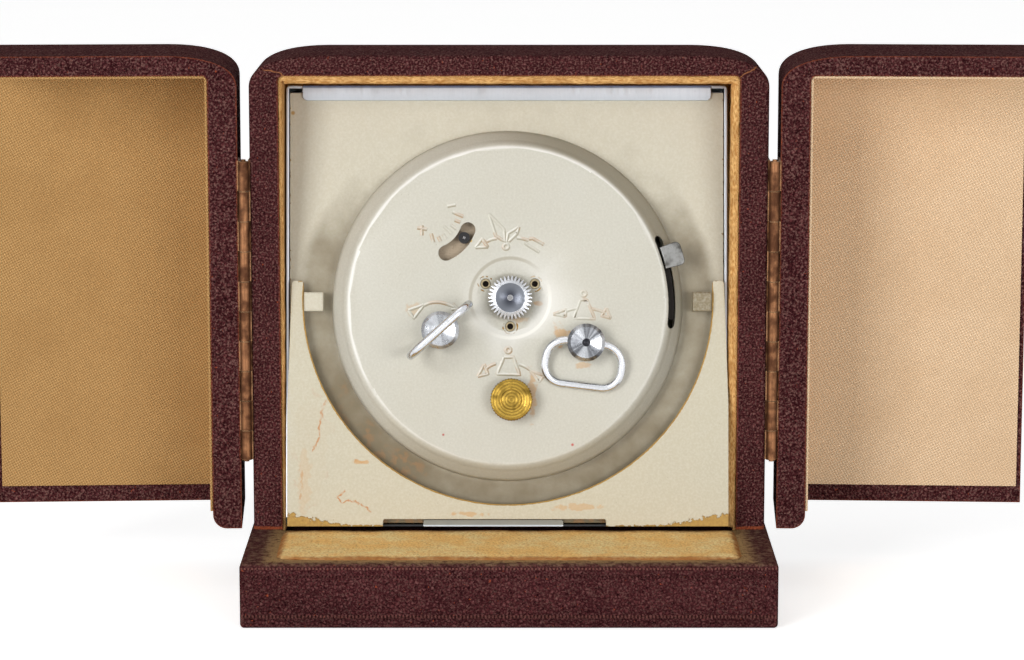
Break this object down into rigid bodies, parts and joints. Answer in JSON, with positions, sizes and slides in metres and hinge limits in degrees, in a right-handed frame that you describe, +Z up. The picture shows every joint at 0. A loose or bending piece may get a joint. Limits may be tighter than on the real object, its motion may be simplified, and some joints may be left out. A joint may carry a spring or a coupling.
{
  "type": "travel alarm clock",
  "caption": "Square wind-up alarm clock seen from its key side, leaning in a leather travel case whose two lined tray doors fold open on piano hinges; strut, keys, knobs and levers move.",
  "frame": {"origin": "on the surface the plinth stands on, midway between its sides and in line with the front face of the case frame", "axes": "+Z up; -Y towards the side with the winding keys, which the open doors frame; +X to the right seen from that side"},
  "size_m": [0.1822, 0.0517, 0.0926],
  "materials": {
    "leather": "worn",
    "lining": "woven",
    "pad": "smooth",
    "bronze": "oxidised",
    "nickel": "worn bright",
    "cream": "satin",
    "aluminium": "turned",
    "brass": "turned",
    "steel": "polished",
    "dial": "matt",
    "glass": "clear"
  },
  "bodies": {
    "case": {"case_frame": "leather", "plinth": "leather", "frame_lining": "lining", "plinth_pad": "pad", "left_frame_leaf": "bronze", "right_frame_leaf": "bronze", "left_hinge_pin": "bronze", "right_hinge_pin": "bronze"},
    "left_door": {"left_door_shell": "leather", "left_door_lining": "lining", "left_door_leaf": "bronze"},
    "right_door": {"right_door_shell": "leather", "right_door_lining": "lining", "right_door_leaf": "bronze"},
    "clock": {"nickel_case": "nickel", "back_plate": "cream", "drum_cover": "cream", "strut_lugs": "cream", "rear_plate": "brass", "front_plate": "brass", "pillars": "steel", "cover_posts": "brass", "dial": "dial", "glass": "glass"},
    "strut": {"strut": "cream"},
    "time_key": {"time_key_hub": "aluminium"},
    "time_ring": {"time_key_ring": "nickel"},
    "alarm_key": {"alarm_key_hub": "aluminium"},
    "alarm_ring": {"alarm_key_ring": "nickel"},
    "centre": {"centre_arbor": "steel", "set_knob": "aluminium", "minute_hand": "steel"},
    "hour": {"hour_wheel": "brass", "hour_hand": "steel"},
    "motion": {"minute_wheel": "brass"},
    "alarm_set": {"alarm_arbor": "brass", "alarm_knob": "brass"},
    "alarm_pointer": {"alarm_wheel": "brass", "alarm_hand": "steel"},
    "regulator": {"regulator_lever": "brass"},
    "alarm_shut_off": {"alarm_stop": "steel"},
    "time_barrel": {"time_barrel": "brass"},
    "alarm_barrel": {"alarm_barrel": "brass"},
    "centre_drive": {"centre_wheel": "brass"},
    "third": {"third_wheel": "brass"},
    "fourth": {"fourth_wheel": "brass"},
    "escape": {"escape_wheel": "steel"},
    "pallets": {"pallet_lever": "steel"},
    "balance": {"balance_wheel": "brass", "hairspring": "steel"},
    "alarm_hammer": {"hammer": "steel"}
  },
  "joints": [
    {"name": "left_door_hinge", "type": "hinge", "parent": "case", "child": "left_door", "pos_m": [-0.045, -0.00015, 0.049], "axis": [0, 0, 1], "range_deg": [0, 177]},
    {"name": "right_door_hinge", "type": "hinge", "parent": "case", "child": "right_door", "pos_m": [0.045, -0.00015, 0.049], "axis": [0, 0, -1], "range_deg": [0, 177]},
    {"name": "clock_draw", "type": "slide", "parent": "case", "child": "clock", "axis": [0, 0.989, -0.1478], "range_m": [-0.034, 0]},
    {"name": "strut_hinge", "type": "hinge", "parent": "clock", "child": "strut", "pos_m": [-0.0002, 0.00332, 0.05009], "axis": [1, 0, 0], "range_deg": [-20, 0]},
    {"name": "time_key_turn", "type": "hinge", "parent": "clock", "child": "time_key", "pos_m": [-0.01169, -0.00314, 0.04624], "axis": [0, 0.9848, -0.1736], "continuous": true},
    {"name": "time_ring_fold", "type": "hinge", "parent": "time_key", "child": "time_ring", "pos_m": [-0.01169, -0.00314, 0.04624], "axis": [0.7466, 0.1155, 0.6551], "range_deg": [-99, 99]},
    {"name": "alarm_key_turn", "type": "hinge", "parent": "clock", "child": "alarm_key", "pos_m": [0.01309, -0.0035, 0.04419], "axis": [0, 0.9848, -0.1736], "continuous": true},
    {"name": "alarm_ring_fold", "type": "hinge", "parent": "alarm_key", "child": "alarm_ring", "pos_m": [0.01309, -0.0035, 0.04419], "axis": [-0.9925, 0.0212, 0.12], "range_deg": [0, 198]},
    {"name": "hand_setting", "type": "hinge", "parent": "clock", "child": "centre", "pos_m": [0.00019, 0.00471, 0.05045], "axis": [0, 0.9848, -0.1736], "continuous": true},
    {"name": "hour_turn", "type": "hinge", "parent": "clock", "child": "hour", "pos_m": [0.00019, 0.00963, 0.04959], "axis": [0, 0.9848, -0.1736], "continuous": true},
    {"name": "minute_wheel_turn", "type": "hinge", "parent": "clock", "child": "motion", "pos_m": [-0.00281, 0.00955, 0.05488], "axis": [0, 0.9848, -0.1736], "continuous": true},
    {"name": "alarm_setting", "type": "hinge", "parent": "clock", "child": "alarm_set", "pos_m": [0.0004, 0.0017, 0.03343], "axis": [0, 0.9848, -0.1736], "continuous": true},
    {"name": "alarm_hand_turn", "type": "hinge", "parent": "clock", "child": "alarm_pointer", "pos_m": [0.00019, 0.00963, 0.04959], "axis": [0, 0.9848, -0.1736], "continuous": true},
    {"name": "regulator_turn", "type": "hinge", "parent": "clock", "child": "regulator", "pos_m": [-0.0134, 0.00417, 0.06467], "axis": [0, -0.9848, 0.1736], "range_deg": [-34, 12]},
    {"name": "alarm_stop_turn", "type": "hinge", "parent": "clock", "child": "alarm_shut_off", "pos_m": [-0.0003, 0.00153, 0.0497], "axis": [0, -0.9848, 0.1736], "range_deg": [-19, 4]},
    {"name": "time_barrel_turn", "type": "hinge", "parent": "clock", "child": "time_barrel", "pos_m": [-0.01169, 0.00375, 0.04503], "axis": [0, 0.9848, -0.1736], "continuous": true},
    {"name": "alarm_barrel_turn", "type": "hinge", "parent": "clock", "child": "alarm_barrel", "pos_m": [0.01309, 0.00339, 0.04298], "axis": [0, 0.9848, -0.1736], "continuous": true},
    {"name": "centre_wheel_turn", "type": "hinge", "parent": "clock", "child": "centre_drive", "pos_m": [0.00019, 0.00471, 0.05045], "axis": [0, 0.9848, -0.1736], "continuous": true},
    {"name": "third_wheel_turn", "type": "hinge", "parent": "clock", "child": "third", "pos_m": [0.00719, 0.00575, 0.05637], "axis": [0, 0.9848, -0.1736], "continuous": true},
    {"name": "fourth_wheel_turn", "type": "hinge", "parent": "clock", "child": "fourth", "pos_m": [0.00321, 0.00668, 0.06167], "axis": [0, 0.9848, -0.1736], "continuous": true},
    {"name": "escape_wheel_turn", "type": "hinge", "parent": "clock", "child": "escape", "pos_m": [-0.00241, 0.00721, 0.06464], "axis": [0, 0.9848, -0.1736], "continuous": true},
    {"name": "pallet_rock", "type": "hinge", "parent": "clock", "child": "pallets", "pos_m": [-0.00701, 0.00756, 0.06661], "axis": [0, 0.9848, -0.1736], "range_deg": [-6, 6]},
    {"name": "balance_swing", "type": "hinge", "parent": "clock", "child": "balance", "pos_m": [-0.0134, 0.00712, 0.06415], "axis": [0, 0.9848, -0.1736], "range_deg": [-135, 135], "stiffness_Nm_per_rad": 0.0000012},
    {"name": "hammer_swing", "type": "hinge", "parent": "clock", "child": "alarm_hammer", "pos_m": [0.0166, 0.00667, 0.06159], "axis": [0, 0.9848, -0.1736], "range_deg": [-8, 8]}
  ],
  "couplings": [
    {"joint": "hour_turn", "follows": "hand_setting", "ratio": 0.083333},
    {"joint": "minute_wheel_turn", "follows": "hand_setting", "ratio": -0.27753},
    {"joint": "alarm_hand_turn", "follows": "alarm_setting", "ratio": -0.31271},
    {"joint": "third_wheel_turn", "follows": "fourth_wheel_turn", "ratio": -0.216},
    {"joint": "centre_wheel_turn", "follows": "fourth_wheel_turn", "ratio": 0.031186},
    {"joint": "time_barrel_turn", "follows": "fourth_wheel_turn", "ratio": -0.0029834},
    {"joint": "escape_wheel_turn", "follows": "fourth_wheel_turn", "ratio": -6.3433}
  ]
}
